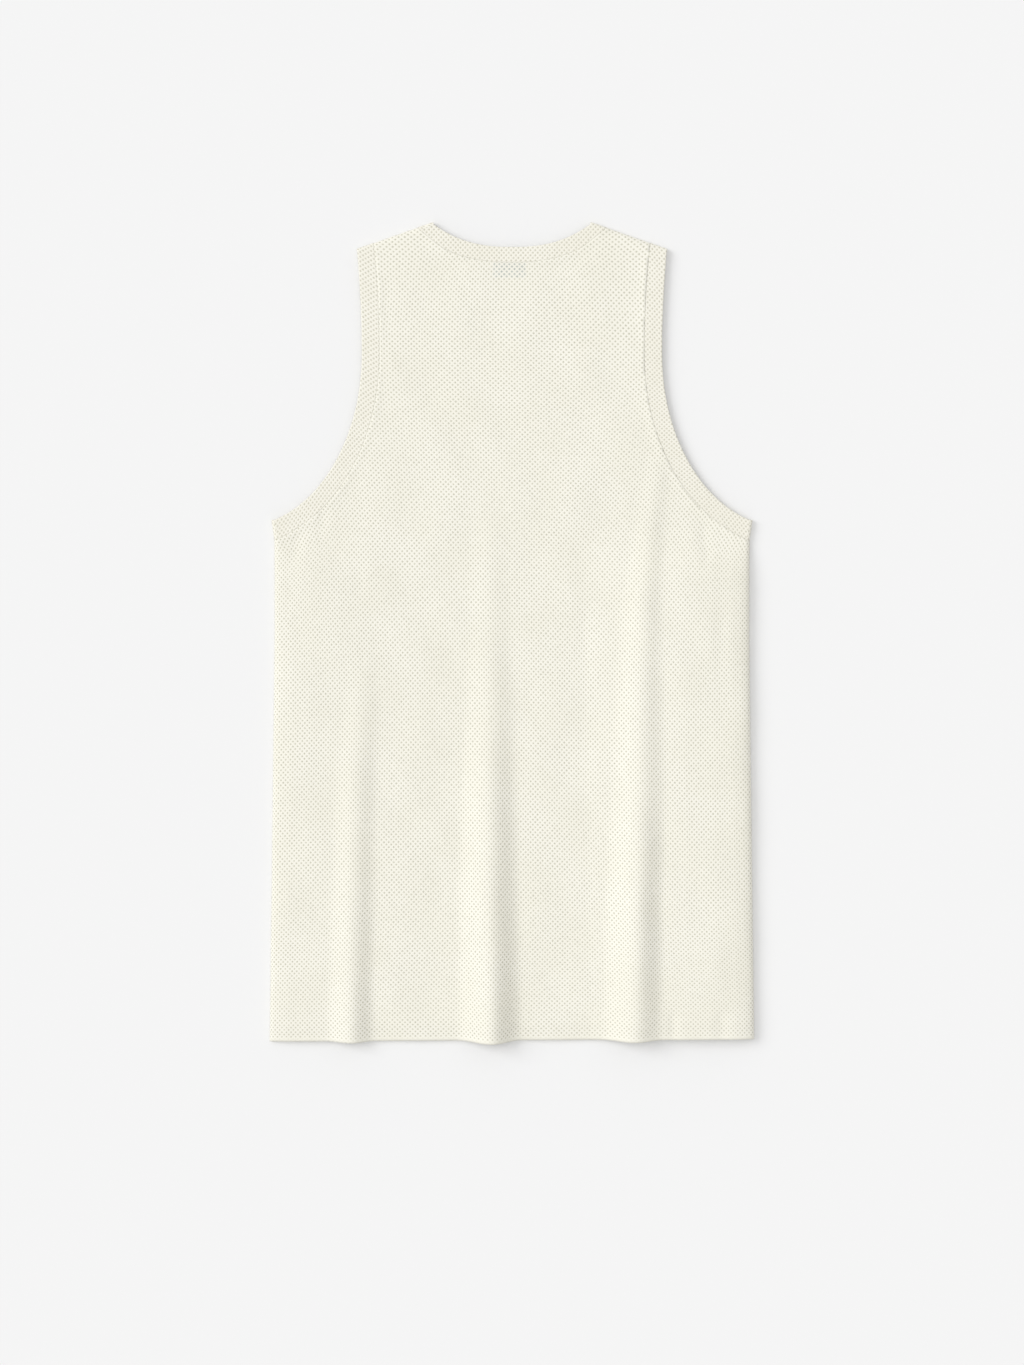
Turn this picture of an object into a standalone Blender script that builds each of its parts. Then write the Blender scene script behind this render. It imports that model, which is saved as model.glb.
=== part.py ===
"""A sleeveless knitted tank top, laid flat on a surface with its back upwards.

The frame is in metres: +X runs across the garment to the viewer's right, +Y up to the neck,
+Z off the surface. The origin is at the middle of the garment, on the surface that it lies on.
The front panel lies on the surface and the back panel lies on it. The neck band and the two
armhole bands are rings that fold over at the shoulder line and at the side.
"""
import bpy
import bmesh
import math
from mathutils import Vector

# Outline of the garment, as laid flat
BODY_LENGTH = 0.7495          # high point of the shoulder to the hem
CENTRE_TO_NECK_POINT = 0.37507   # from the middle of the garment up to the neck's corner
NECK_HALF = 0.071             # neck corner from the centre line
SHOULDER_HALF = 0.141         # shoulder tip from the centre line
SHOULDER_SLOPE = math.radians(19.4)
BACK_NECK_DROP = 0.0235
BACK_NECK_POWER = 2.5         # shape of the back neckline, 2 is a parabola
HEM_RISE_TO_RIGHT = 0.0024    # the hem isn't laid quite square

# Armhole: an elliptical scoop at the bottom and a nearly straight edge above it
ARMHOLE_HALF = 0.137          # narrowest place, from the centre line
SCOOP_REACH = 0.1105          # the ellipse's half width
SCOOP_HEIGHT = 0.1571         # the ellipse's half height
SCOOP_CENTRE_Y = 0.2535
SCOOP_SHARE = 0.66            # share of the edge's points that lie in the scoop
UNDERARM_HALF = 0.2197        # corner of the band at the side
STRAP_FLARE = 0.0041          # the edge runs out again towards the shoulder tip
STRAP_FLARE_START_Y = 0.267
STRAP_FLARE_POWER = 1.6
FRONT_ARMHOLE_EXTRA = 0.005   # the front is scooped a little deeper than the back

# Front neckline: a deep scoop, hidden under the back
FRONT_NECK_HALF = 0.082
FRONT_NECK_WIDEN_LENGTH = 0.060
FRONT_SCOOP_TOP_Y = 0.276
FRONT_SCOOP_DEPTH = 0.105
FRONT_SCOOP_POWER = 1.55      # 2 is an ellipse, less is nearer to a V
FRONT_STRAIGHT_SHARE = 0.22   # share of each half's points that lie on the straight sides

# Bands
NECK_BAND_WIDTH = 0.014
ARMHOLE_BAND_WIDTH = 0.016
ARMHOLE_BAND_SIDE_LENGTH = 0.0178   # along the side seam
SEAM_GAP = 0.0003
SEAM_END_BLEND = 0.12         # share of a seam that turns to run along the fold at its end
DIRECTION_STEP = 0.004        # share of an edge over which its direction is measured

# Cloth and levels above the surface
PANEL_THICKNESS = 0.0015
BAND_THICKNESS = 0.0020
UPPER_LEVEL = 0.0040          # underside of what lies on top
FOLD_AXIS_Z = (UPPER_LEVEL + BAND_THICKNESS) / 2
FOLD_OUTER_RADIUS = FOLD_AXIS_Z
FOLD_INNER_RADIUS = FOLD_OUTER_RADIUS - BAND_THICKNESS
SEAM_LEVEL = PANEL_THICKNESS + SEAM_GAP   # underside of the back panel at its own side seam
FRONT_HEM_SHORTER = 0.0005

# Label
LABEL_WIDTH = 0.030
LABEL_DEPTH = 0.0135
LABEL_THICKNESS = 0.0006
LABEL_CENTRE_X = -0.0023

# Side seam: height on the garment, distance from the centre line
SIDE_SEAM = [
    # (y, half width)
    (-0.371, 0.2213),
    (-0.208, 0.2192),
    (0.000, 0.2168),
    (0.084, 0.2170),
]

# How the back panel rounds down to its side seam. The right side lies puffed up off the front.
SIDE_ROUNDING = [
    # (distance in from the seam, height over the seam at the left, and at the right)
    (0.000, 0.0000, 0.0000),
    (0.004, 0.0023, 0.0063),
    (0.008, 0.0030, 0.0077),
    (0.016, 0.0037, 0.0088),
    (0.034, 0.0042, 0.0095),
    (0.060, 0.0039, 0.0093),
    (0.095, 0.0027, 0.0075),
    (0.150, 0.0022, 0.0022),
]
EDGE_COLUMNS = 4              # rows of this table that get a column of the mesh each
SIDE_WALL_INSET = 0.0012      # the underside starts inside the seam by the steep wall's width
ROUNDING_FADE = 0.09          # the rounding fades out over this length below the armhole

# The three long folds of the back panel, from the hem upwards. Each row is a place on the crest,
# its height, and how far the fold reaches to either side of the crest.
FOLDS = {
    "left": [
        # (y, crest x, height, reach left, reach right)
        (-0.373, -0.146, 0.0080, 0.024, 0.021),
        (-0.250, -0.144, 0.0050, 0.023, 0.021),
        (-0.150, -0.142, 0.0034, 0.022, 0.020),
        (-0.070, -0.138, 0.0012, 0.019, 0.019),
        (-0.015, -0.135, 0.0000, 0.016, 0.016),
    ],
    "middle": [
        (-0.373, -0.018, 0.0160, 0.033, 0.027),
        (-0.250, -0.019, 0.0112, 0.032, 0.027),
        (-0.160, -0.020, 0.0080, 0.030, 0.027),
        (-0.070, -0.019, 0.0034, 0.026, 0.024),
        (0.020, -0.020, 0.0016, 0.022, 0.020),
        (0.140, -0.022, 0.0000, 0.018, 0.016),
    ],
    "right": [
        (-0.373, 0.112, 0.0108, 0.031, 0.027),
        (-0.250, 0.113, 0.0112, 0.030, 0.026),
        (-0.160, 0.116, 0.0068, 0.028, 0.026),
        (-0.070, 0.117, 0.0052, 0.026, 0.024),
        (0.020, 0.119, 0.0035, 0.022, 0.020),
        (0.100, 0.127, 0.0017, 0.018, 0.015),
        (0.150, 0.134, 0.0009, 0.015, 0.013),
        (0.185, 0.134, 0.0000, 0.010, 0.010),
    ],
}
HEM_DIP_PER_HEIGHT = 0.15     # the hem hangs lower where a fold lifts it
HEM_SHAPE_REACH = 0.12        # the hem's line is followed by the rows this far up

# Colours
PANEL_CREAM = (0.86, 0.83, 0.72, 1.0)
BAND_CREAM = (0.84, 0.80, 0.68, 1.0)
LABEL_GREY_BLUE = (0.50, 0.55, 0.60, 1.0)
KNIT_ROUGHNESS = 0.9

# Mesh density
HEM_Y = CENTRE_TO_NECK_POINT - BODY_LENGTH
SIDE_ROWS = 14
MIDDLE_COLUMNS = 48
BAND_SECTIONS = 20
FRONT_NECK_SECTIONS = 26
FOLD_SECTIONS = 5
SHARP_ANGLE = math.radians(40)


def ease(value):
    """Smooth step from 0 to 1."""
    value = min(1.0, max(0.0, value))
    return value * value * (3 - 2 * value)


def table_value(table, place, column):
    """Read one column of a table whose first column rises, straight between its rows."""
    if place <= table[0][0]:
        return table[0][column]
    for low, high in zip(table, table[1:]):
        if place <= high[0]:
            share = (place - low[0]) / (high[0] - low[0])
            return low[column] + (high[column] - low[column]) * share
    return table[-1][column]


def shoulder_y(x):
    """The line over which the garment folds at the shoulders."""
    corner_y = CENTRE_TO_NECK_POINT - FOLD_OUTER_RADIUS / math.cos(SHOULDER_SLOPE)
    return corner_y - (abs(x) - NECK_HALF) * math.tan(SHOULDER_SLOPE)


SHOULDER_TIP = Vector((SHOULDER_HALF, shoulder_y(SHOULDER_HALF)))
NECK_CORNER = Vector((NECK_HALF, shoulder_y(NECK_HALF)))
ALONG_SHOULDER = Vector((math.cos(SHOULDER_SLOPE), -math.sin(SHOULDER_SLOPE)))
OFF_SHOULDER = Vector((math.sin(SHOULDER_SLOPE), math.cos(SHOULDER_SLOPE)))


def armhole_edge(share, extra=0.0):
    """A point of the right armhole's edge, from the side (0) to the shoulder tip (1)."""
    side_fold = UNDERARM_HALF - FOLD_OUTER_RADIUS
    corner_angle = math.acos(1 - (side_fold - ARMHOLE_HALF) / SCOOP_REACH)
    if share < SCOOP_SHARE:
        angle = corner_angle * (1 - share / SCOOP_SHARE)
        x = ARMHOLE_HALF + SCOOP_REACH * (1 - math.cos(angle))
        y = SCOOP_CENTRE_Y - SCOOP_HEIGHT * math.sin(angle)
    else:
        rise = (share - SCOOP_SHARE) / (1 - SCOOP_SHARE)
        y = SCOOP_CENTRE_Y + (SHOULDER_TIP.y - SCOOP_CENTRE_Y) * rise
        flare = max(0.0, y - STRAP_FLARE_START_Y) / (SHOULDER_TIP.y - STRAP_FLARE_START_Y)
        x = ARMHOLE_HALF + STRAP_FLARE * flare ** STRAP_FLARE_POWER
    return Vector((x - extra * math.sin(math.pi * share), y))


def back_neck_edge(share):
    """A point of the back neckline, from the left corner (0) to the right corner (1)."""
    x = NECK_HALF * (2 * share - 1)
    low = CENTRE_TO_NECK_POINT - BACK_NECK_DROP
    rise = NECK_CORNER.y - low
    return Vector((x, low + rise * (abs(x) / NECK_HALF) ** BACK_NECK_POWER))


def front_neck_edge(share):
    """A point of the front neckline, from the right corner (0) to the left corner (1)."""
    side = 1 if share <= 0.5 else -1
    run = min(share, 1 - share) * 2
    if run < FRONT_STRAIGHT_SHARE:
        y = NECK_CORNER.y + (FRONT_SCOOP_TOP_Y - NECK_CORNER.y) * run / FRONT_STRAIGHT_SHARE
        widen = ease((NECK_CORNER.y - y) / FRONT_NECK_WIDEN_LENGTH)
        return Vector((side * (NECK_HALF + (FRONT_NECK_HALF - NECK_HALF) * widen), y))
    angle = (run - FRONT_STRAIGHT_SHARE) / (1 - FRONT_STRAIGHT_SHARE) * math.pi / 2
    power = 2 / FRONT_SCOOP_POWER
    x = FRONT_NECK_HALF * max(0.0, math.cos(angle)) ** power
    return Vector((side * x, FRONT_SCOOP_TOP_Y - FRONT_SCOOP_DEPTH * math.sin(angle) ** power))


def seam_line(edge, shares, width, end_vectors):
    """Points at the band's width from an edge; the ends run along the fold lines."""
    points = []
    for share in shares:
        before = edge(max(0.0, share - DIRECTION_STEP))
        after = edge(min(1.0, share + DIRECTION_STEP))
        run = (after - before).normalized()
        across = Vector((-run.y, run.x)) * width
        start_weight = ease(1 - share / SEAM_END_BLEND)
        end_weight = ease(1 - (1 - share) / SEAM_END_BLEND)
        middle_weight = 1 - start_weight - end_weight
        reach = across * middle_weight + end_vectors[0] * start_weight + end_vectors[1] * end_weight
        points.append(edge(share) + reach)
    return points


def even_shares(count):
    return [index / (count - 1) for index in range(count)]


def strip_sections(edge_points, seam_points, outer_z, inner_z):
    """Sections of a flat strip: edge and seam on its outer face, then on its inner face."""
    sections = []
    for edge_point, seam_point in zip(edge_points, seam_points):
        sections.append([
            edge_point.to_3d() + Vector((0, 0, outer_z)),
            seam_point.to_3d() + Vector((0, 0, outer_z)),
            seam_point.to_3d() + Vector((0, 0, inner_z)),
            edge_point.to_3d() + Vector((0, 0, inner_z)),
        ])
    return sections


def fold_sections(edge_point, seam_point, outwards, downwards):
    """Sections of the half turn between the upper and the lower strip of a band."""
    sections = []
    for index in range(1, FOLD_SECTIONS + 1):
        angle = math.pi * index / (FOLD_SECTIONS + 1)
        if not downwards:
            angle = math.pi - angle
        turn = outwards.to_3d() * math.sin(angle) + Vector((0, 0, math.cos(angle)))
        axis = Vector((0, 0, FOLD_AXIS_Z))
        outer = turn * FOLD_OUTER_RADIUS + axis
        inner = turn * FOLD_INNER_RADIUS + axis
        sections.append([
            edge_point.to_3d() + outer,
            seam_point.to_3d() + outer,
            seam_point.to_3d() + inner,
            edge_point.to_3d() + inner,
        ])
    return sections


def ring_mesh(name, sections, mirrored=False):
    """Loft four-cornered sections into one closed ring."""
    shape = bmesh.new()
    side = -1 if mirrored else 1
    rings = []
    for section in sections:
        rings.append([shape.verts.new((side * point.x, point.y, point.z)) for point in section])
    for index, ring in enumerate(rings):
        following = rings[(index + 1) % len(rings)]
        for corner in range(4):
            beside = (corner + 1) % 4
            shape.faces.new((ring[corner], ring[beside], following[beside], following[corner]))
    if shape.calc_volume(signed=True) < 0:
        bmesh.ops.reverse_faces(shape, faces=shape.faces)
    mesh = bpy.data.meshes.new(name)
    shape.to_mesh(mesh)
    shape.free()
    mesh.shade_smooth()
    mesh.set_sharp_from_angle(angle=SHARP_ANGLE)
    return mesh


def armhole_seam_ends(gap):
    """From the band's edge to the seam, along the side and along the shoulder."""
    along_side = Vector((SIDE_SEAM[-1][1] - UNDERARM_HALF, -ARMHOLE_BAND_SIDE_LENGTH))
    along_side *= 1 + gap / ARMHOLE_BAND_SIDE_LENGTH
    return along_side, ALONG_SHOULDER * -(ARMHOLE_BAND_WIDTH + gap)


def armhole_band_mesh(name, mirrored):
    shares = even_shares(BAND_SECTIONS)
    ends = armhole_seam_ends(0.0)
    back_edge = [armhole_edge(share) for share in shares]
    back_seam = seam_line(armhole_edge, shares, ARMHOLE_BAND_WIDTH, ends)

    def front(share):
        return armhole_edge(share, FRONT_ARMHOLE_EXTRA)

    front_edge = [front(share) for share in shares]
    front_seam = seam_line(front, shares, ARMHOLE_BAND_WIDTH, ends)
    side_out = Vector((1, 0))
    sections = strip_sections(back_edge, back_seam, UPPER_LEVEL + BAND_THICKNESS, UPPER_LEVEL)
    sections += fold_sections(back_edge[-1], back_seam[-1], OFF_SHOULDER, True)
    sections += strip_sections(front_edge[::-1], front_seam[::-1], 0.0, BAND_THICKNESS)
    sections += fold_sections(front_edge[0], front_seam[0], side_out, False)
    return ring_mesh(name, sections, mirrored)


def neck_seam_ends(width):
    """The band's width along the shoulder fold line, at the left and the right corner."""
    right = ALONG_SHOULDER * width
    return Vector((-right.x, right.y)), right


def back_neck_seam(shares, width):
    """The back neckline runs left to right, so its outer side is to its right."""
    left_end, right_end = neck_seam_ends(width)
    return seam_line(back_neck_edge, shares, -width, (left_end, right_end))


def front_neck_seam(shares, width):
    """The front neckline runs right to left."""
    left_end, right_end = neck_seam_ends(width)
    return seam_line(front_neck_edge, shares, width, (right_end, left_end))


def neck_band_mesh(name):
    back_shares = even_shares(BAND_SECTIONS)
    front_shares = even_shares(FRONT_NECK_SECTIONS)
    back_edge = [back_neck_edge(share) for share in back_shares]
    back_seam = back_neck_seam(back_shares, NECK_BAND_WIDTH)
    front_edge = [front_neck_edge(share) for share in front_shares]
    front_seam = front_neck_seam(front_shares, NECK_BAND_WIDTH)
    off_left = Vector((-OFF_SHOULDER.x, OFF_SHOULDER.y))
    sections = strip_sections(back_edge, back_seam, UPPER_LEVEL + BAND_THICKNESS, UPPER_LEVEL)
    sections += fold_sections(back_edge[-1], back_seam[-1], OFF_SHOULDER, True)
    sections += strip_sections(front_edge, front_seam, 0.0, BAND_THICKNESS)
    sections += fold_sections(front_edge[-1], front_seam[-1], off_left, False)
    return ring_mesh(name, sections)


def side_half_width(y):
    return table_value(SIDE_SEAM, y, 1)


def fold_height(x, y):
    """How far the folds lift the back panel off the front panel at a place."""
    height = 0.0
    for rows in FOLDS.values():
        if y >= rows[-1][0]:
            continue
        crest = table_value(rows, y, 1)
        reach = table_value(rows, y, 3 if x < crest else 4)
        away = min(1.0, abs(x - crest) / reach)
        height += table_value(rows, y, 2) * math.cos(away * math.pi / 2) ** 2
    return height


def hem_y(x):
    slope = HEM_RISE_TO_RIGHT * x / (2 * side_half_width(HEM_Y))
    return HEM_Y + HEM_RISE_TO_RIGHT + slope - HEM_DIP_PER_HEIGHT * fold_height(x, HEM_Y)


NECK_SEAM_HALF = NECK_CORNER.x + (NECK_BAND_WIDTH + SEAM_GAP) * ALONG_SHOULDER.x
BACK_NECK_SEAM_TABLE = [
    (point.x, point.y)
    for point in back_neck_seam(even_shares(BAND_SECTIONS), NECK_BAND_WIDTH + SEAM_GAP)
]


def panel_top_y(x):
    """The back panel's upper edge: the shoulder line, and the neck band's seam between."""
    if abs(x) >= NECK_SEAM_HALF:
        return shoulder_y(x)
    return table_value(BACK_NECK_SEAM_TABLE, x, 1) - SEAM_GAP


def below_armhole(y):
    """1 beside the side seam, fading to 0 at the armhole."""
    return ease((SIDE_SEAM[-1][0] - y) / ROUNDING_FADE)


def back_panel_row_ends():
    """Right end of each row of the back panel's mesh: up the side, then up the band's seam."""
    ends = []
    armhole_foot = SIDE_SEAM[-1][0]
    hem_corner = HEM_Y + HEM_RISE_TO_RIGHT
    for index in range(SIDE_ROWS):
        y = hem_corner + (armhole_foot - hem_corner) * index / SIDE_ROWS
        ends.append(Vector((side_half_width(y) - SIDE_WALL_INSET * below_armhole(y), y)))
    ends += armhole_seam(0.0)
    return ends


def armhole_seam(extra):
    """The panel's own edge along the armhole band, a seam gap inside the band."""
    def edge(share):
        return armhole_edge(share, extra)

    width = ARMHOLE_BAND_WIDTH + SEAM_GAP
    return seam_line(edge, even_shares(BAND_SECTIONS), width, armhole_seam_ends(SEAM_GAP))


def side_height(x, half_width):
    """Height of the underside over its seam, at a place of a row of the back panel."""
    return table_value(SIDE_ROUNDING, half_width - abs(x), 1 if x < 0 else 2)


def over_shoulder_fold(shape, vert):
    """A point that carries the panel down over the shoulder, as far as the bands' folds reach."""
    x = vert.co.x + math.copysign(OFF_SHOULDER.x, vert.co.x) * FOLD_OUTER_RADIUS
    y = vert.co.y + OFF_SHOULDER.y * FOLD_OUTER_RADIUS
    return shape.verts.new((x, y, SEAM_LEVEL))


def back_panel_mesh(name):
    """A grid of rows from the hem to the shoulders, on the panel's underside."""
    ends = back_panel_row_ends()
    shoulder_end = ends[-1]
    corner_share = NECK_SEAM_HALF / shoulder_end.x
    edge_rows = SIDE_ROUNDING[:EDGE_COLUMNS]
    edge_shares = [1 - row[0] / side_half_width(HEM_Y) for row in edge_rows]
    inner_count = MIDDLE_COLUMNS // 2
    half_shares = [edge_shares[-1] * index / inner_count for index in range(inner_count)]
    nearest = min(range(inner_count), key=lambda index: abs(half_shares[index] - corner_share))
    half_shares[nearest] = corner_share
    half_shares += edge_shares[::-1]
    columns = [-share for share in half_shares[:0:-1]] + half_shares
    armhole_foot = SIDE_SEAM[-1][0]
    shape = bmesh.new()
    rows = []
    for end in ends:
        bow = ease((end.y - armhole_foot) / (shoulder_end.y - armhole_foot)) ** 2
        at_hem = ease(1 - (end.y - ends[0].y) / HEM_SHAPE_REACH)
        row = []
        for share in columns:
            x = share * end.x
            top = panel_top_y(share * shoulder_end.x)
            y = end.y + bow * (top - shoulder_end.y) + at_hem * (hem_y(x) - ends[0].y)
            side_z = SEAM_LEVEL + side_height(x, end.x)
            z = UPPER_LEVEL + (side_z - UPPER_LEVEL) * below_armhole(y) + fold_height(x, y)
            row.append(shape.verts.new((x, y, z)))
        rows.append(row)
    corner_index = columns.index(corner_share)
    strips = list(zip(rows, rows[1:]))
    for strap in (rows[-1][:len(columns) - corner_index], rows[-1][corner_index:]):
        strips.append((strap, [over_shoulder_fold(shape, vert) for vert in strap]))
    for low, high in strips:
        for index in range(len(low) - 1):
            shape.faces.new((low[index], low[index + 1], high[index + 1], high[index]))
    mesh = bpy.data.meshes.new(name)
    shape.to_mesh(mesh)
    shape.free()
    mesh.shade_smooth()
    return mesh


def front_panel_outline():
    """From the hem up the right side, over the shoulder, round the neck and down the left."""
    half = []
    hem = HEM_Y + HEM_RISE_TO_RIGHT + FRONT_HEM_SHORTER
    for share in (0.0, 1 / 3, 2 / 3):
        y = hem + (SIDE_SEAM[-1][0] - hem) * share
        half.append(Vector((side_half_width(y), y)))
    half += armhole_seam(FRONT_ARMHOLE_EXTRA)
    neck = front_neck_seam(even_shares(FRONT_NECK_SECTIONS), NECK_BAND_WIDTH + SEAM_GAP)
    over_fold = OFF_SHOULDER * FOLD_OUTER_RADIUS
    half.append(half[-1] + over_fold)
    half.append(neck[0] + over_fold)
    mirrored = [Vector((-point.x, point.y)) for point in reversed(half)]
    return half + neck + mirrored


def front_panel_curve(name):
    curve = bpy.data.curves.new(name, "CURVE")
    curve.dimensions = "2D"
    curve.fill_mode = "BOTH"
    curve.extrude = PANEL_THICKNESS / 2
    outline = front_panel_outline()
    spline = curve.splines.new("POLY")
    spline.points.add(len(outline) - 1)
    for spline_point, point in zip(spline.points, outline):
        spline_point.co = (point.x, point.y, 0.0, 1.0)
    spline.use_cyclic_u = True
    return curve


def knit_material(name, colour):
    material = bpy.data.materials.new(name)
    material.use_nodes = True
    shader = material.node_tree.nodes["Principled BSDF"]
    shader.inputs["Base Color"].default_value = colour
    shader.inputs["Roughness"].default_value = KNIT_ROUGHNESS
    shader.inputs["Metallic"].default_value = 0.0
    return material


def add_object(name, data, colour, collection):
    made = bpy.data.objects.new(name, data)
    collection.objects.link(made)
    data.materials.append(knit_material(name, colour))
    return made


def build_tank_top():
    for old in list(bpy.data.objects):
        bpy.data.objects.remove(old)
    collection = bpy.data.collections.new("knitted_tank_top")
    bpy.context.scene.collection.children.link(collection)

    front = add_object("front_panel", front_panel_curve("front_panel"), PANEL_CREAM, collection)
    front.location.z = PANEL_THICKNESS / 2

    back = add_object("back_panel", back_panel_mesh("back_panel"), PANEL_CREAM, collection)
    wall = back.modifiers.new("cloth thickness", "SOLIDIFY")
    wall.thickness = PANEL_THICKNESS
    wall.offset = 1.0

    add_object("neck_band", neck_band_mesh("neck_band"), BAND_CREAM, collection)
    for name, mirrored in (("armhole_band_left", True), ("armhole_band_right", False)):
        add_object(name, armhole_band_mesh(name, mirrored), BAND_CREAM, collection)

    label_shape = bmesh.new()
    bmesh.ops.create_cube(label_shape, size=1.0)
    scale = Vector((LABEL_WIDTH, LABEL_DEPTH, LABEL_THICKNESS))
    bmesh.ops.scale(label_shape, vec=scale, verts=label_shape.verts)
    label_mesh = bpy.data.meshes.new("neck_label")
    label_shape.to_mesh(label_mesh)
    label_shape.free()
    label = add_object("neck_label", label_mesh, LABEL_GREY_BLUE, collection)
    neck_seam_y = panel_top_y(LABEL_CENTRE_X)
    label_z = UPPER_LEVEL - SEAM_GAP - LABEL_THICKNESS / 2
    label.location = (LABEL_CENTRE_X, neck_seam_y - LABEL_DEPTH / 2, label_z)


build_tank_top()
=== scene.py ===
import math
from functools import partial

import bmesh
import bpy
import numpy as np
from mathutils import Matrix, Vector


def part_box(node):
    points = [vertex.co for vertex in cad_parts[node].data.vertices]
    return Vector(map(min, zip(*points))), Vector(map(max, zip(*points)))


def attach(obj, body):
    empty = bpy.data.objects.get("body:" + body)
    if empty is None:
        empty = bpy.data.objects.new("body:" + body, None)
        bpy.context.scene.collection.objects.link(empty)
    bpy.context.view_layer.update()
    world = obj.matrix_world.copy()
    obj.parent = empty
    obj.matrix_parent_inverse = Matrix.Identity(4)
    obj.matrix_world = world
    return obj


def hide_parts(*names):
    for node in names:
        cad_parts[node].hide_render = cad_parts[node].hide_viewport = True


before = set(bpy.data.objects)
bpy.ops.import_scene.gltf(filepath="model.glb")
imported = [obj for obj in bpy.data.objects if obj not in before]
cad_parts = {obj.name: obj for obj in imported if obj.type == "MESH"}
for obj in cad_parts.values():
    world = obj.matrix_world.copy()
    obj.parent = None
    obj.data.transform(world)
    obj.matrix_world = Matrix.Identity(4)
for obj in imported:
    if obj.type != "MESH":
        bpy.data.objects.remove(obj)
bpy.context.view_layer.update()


# ---- Table, camera and light ----------------------------------------------------------------
# The garment lies on a pale matt table with its back upwards, and the camera looks straight down.
# Broad light falls from the left and a little from the top, softer light comes from straight
# above, and the white room fills in the rest.

PHOTO_HEIGHT_PX = 1365
METRES_PER_PX = 0.0009135       # the garment's 749.5 mm over its height in the photo
SENSOR_MM = 36
LENS_MM = 85
VIEW_CENTRE_Y = -0.0457
TABLE_SIZE = 40.0
TABLE_DROP = 0.0001             # the table's top, just clear of the garment
TABLE_GREY = 0.80
ROOM_STRENGTH = 0.60
LIGHT_ELEVATION = math.radians(37)
LIGHT_TURN = math.radians(20)   # from the left, turned towards the shoulders
LIGHT_SPREAD = math.radians(36)
LIGHT_STRENGTH = 1.44
CEILING_SPREAD = math.radians(40)
CEILING_STRENGTH = 0.84

camera_height = PHOTO_HEIGHT_PX * METRES_PER_PX * LENS_MM / SENSOR_MM
bpy.ops.object.camera_add(location=(0.0, VIEW_CENTRE_Y, camera_height), rotation=(0, 0, 0))
camera = bpy.context.object
camera.name = "camera_above"
camera.data.lens = LENS_MM
camera.data.sensor_width = SENSOR_MM
bpy.context.scene.camera = camera

towards_light = Vector((
    -math.cos(LIGHT_ELEVATION) * math.cos(LIGHT_TURN),
    math.cos(LIGHT_ELEVATION) * math.sin(LIGHT_TURN),
    math.sin(LIGHT_ELEVATION),
))
bpy.ops.object.light_add(type="SUN", rotation=towards_light.to_track_quat("Z", "Y").to_euler())
window_light = bpy.context.object
window_light.name = "wide_window_on_the_left"
window_light.data.energy = LIGHT_STRENGTH
window_light.data.angle = LIGHT_SPREAD
bpy.ops.object.light_add(type="SUN", rotation=(0, 0, 0))
ceiling_light = bpy.context.object
ceiling_light.name = "soft_light_above"
ceiling_light.data.energy = CEILING_STRENGTH
ceiling_light.data.angle = CEILING_SPREAD

room = bpy.data.worlds.new("white_room")
room.use_nodes = True
room_light = room.node_tree.nodes["Background"]
room_light.inputs["Color"].default_value = (1.0, 1.0, 1.0, 1.0)
room_light.inputs["Strength"].default_value = ROOM_STRENGTH
bpy.context.scene.world = room
bpy.context.scene.view_settings.view_transform = "Standard"

bpy.ops.mesh.primitive_plane_add(size=TABLE_SIZE, location=(0, 0, -TABLE_DROP))
table = bpy.context.object
table.name = "table_top"
table_paint = bpy.data.materials.new("pale_matt_table")
table_paint.use_nodes = True
table_shader = table_paint.node_tree.nodes["Principled BSDF"]
table_shader.inputs["Base Color"].default_value = (TABLE_GREY, TABLE_GREY, TABLE_GREY, 1.0)
table_shader.inputs["Roughness"].default_value = 1.0
table_shader.inputs["Specular IOR Level"].default_value = 0.0
table.data.materials.append(table_paint)


# ---- Back panel -----------------------------------------------------------------------------
# One piece of cream cotton knit in an all-over eyelet stitch: small oval holes, half a repeat
# apart from row to row, between yarns that run diagonally. It lies on the front panel, rolls down
# to its side seams and over the shoulders, and three long folds run up it from the hem.

# Outline of the garment as it lies, the same as the solids'
HEM_Y = -0.37443
HEM_RISE_TO_RIGHT = 0.0024
NECK_POINT_Y = 0.37507
NECK_HALF = 0.071
SHOULDER_HALF = 0.141
SHOULDER_SLOPE = math.radians(19.4)
BACK_NECK_DROP = 0.0235
BACK_NECK_POWER = 2.5
ARMHOLE_HALF = 0.137
SCOOP_REACH = 0.1105
SCOOP_HEIGHT = 0.1571
SCOOP_CENTRE_Y = 0.2535
SCOOP_SHARE = 0.66
UNDERARM_HALF = 0.2197
STRAP_FLARE = 0.0041
STRAP_FLARE_START_Y = 0.267
STRAP_FLARE_POWER = 1.6
NECK_BAND_WIDTH = 0.014
ARMHOLE_BAND_WIDTH = 0.016
ARMHOLE_BAND_SIDE_LENGTH = 0.0178
SEAM_GAP = -0.00002             # the stitches press the edges together
SEAM_ENDS_SHARE = 0.12          # a band's seam turns to its fold lines over this share
SEAM_SAMPLE = 0.004             # share of an edge over which its direction is taken
PAST_FOLD = 0.02                # cloth that is cut past a fold line
ARMHOLE_POINTS = 160
NECK_POINTS = 90
SIDE_SEAM = [
    # (y, half width)
    (-0.371, 0.2213),
    (-0.208, 0.2192),
    (0.000, 0.2168),
    (0.084, 0.2170),
]

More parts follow.
